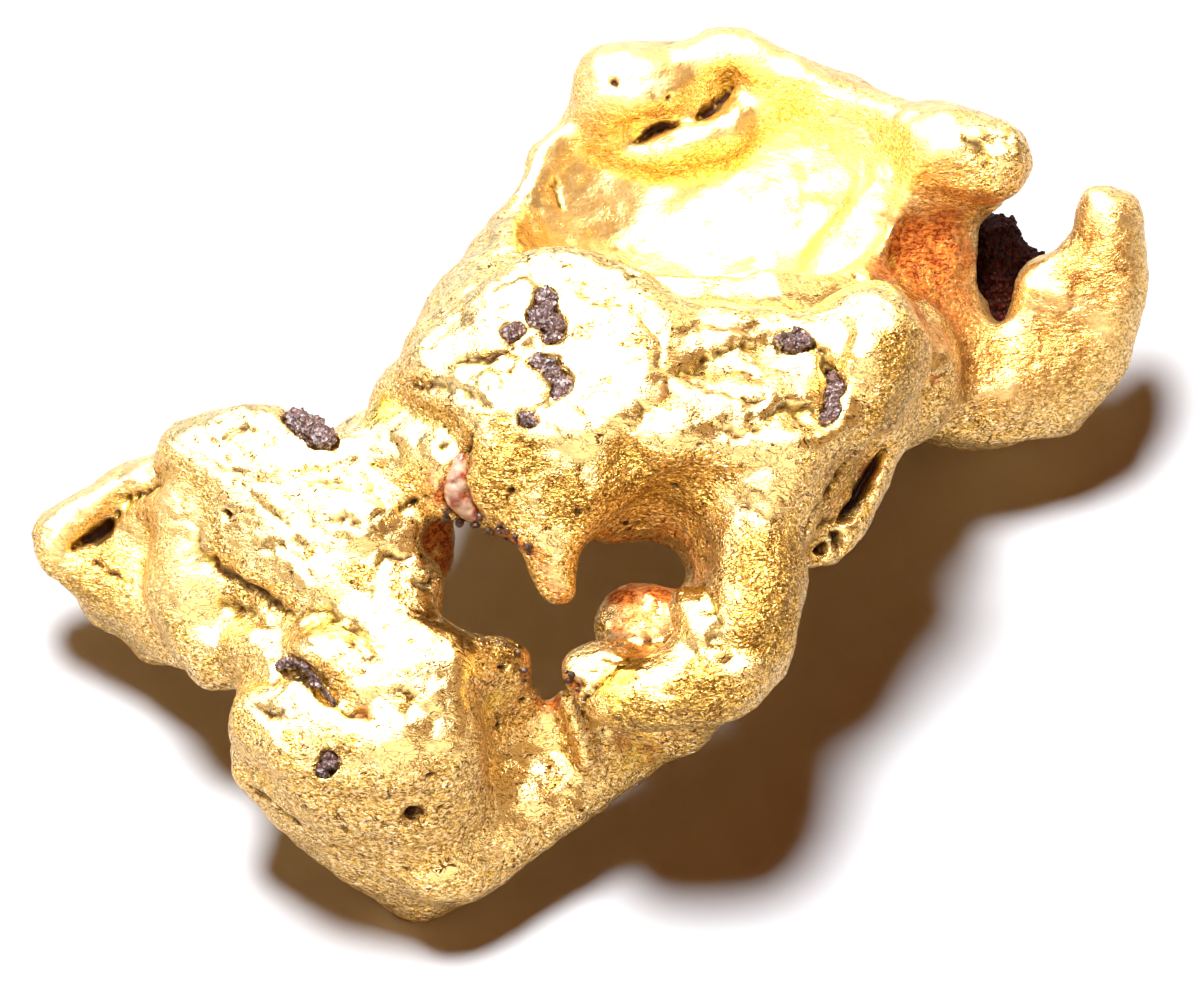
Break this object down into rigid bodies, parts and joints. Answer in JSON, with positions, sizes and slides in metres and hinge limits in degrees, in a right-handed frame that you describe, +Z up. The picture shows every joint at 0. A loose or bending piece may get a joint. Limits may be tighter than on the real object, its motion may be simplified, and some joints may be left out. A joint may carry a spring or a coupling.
{
  "type": "gold nugget",
  "caption": "Natural gold nugget with a heart-shaped hole through it, a dished back, a forked end and chips of ironstone lodged in its skin; it rests on worn lobes.",
  "frame": {"origin": "on the surface that the nugget rests on, under the middle of its bounding box", "axes": "+Z up, +X along the longest extent towards the forked end, +Y from the front lobe towards the dished back"},
  "size_m": [0.0306, 0.0249, 0.0127],
  "materials": {
    "native_gold": "satin",
    "ironstone": "matte",
    "stained_quartz": "satin"
  },
  "bodies": {
    "root": {"gold_nugget": "native_gold", "crown_ironstone_1": "ironstone", "crown_ironstone_2": "ironstone", "crown_ironstone_3": "ironstone", "crown_ironstone_4": "ironstone", "brow_ironstone": "ironstone", "cheek_ironstone": "ironstone", "left_ironstone": "ironstone", "seam_ironstone": "ironstone", "front_ironstone": "ironstone", "fork_ironstone": "ironstone", "quartz_sliver": "stained_quartz"}
  },
  "joints": []
}
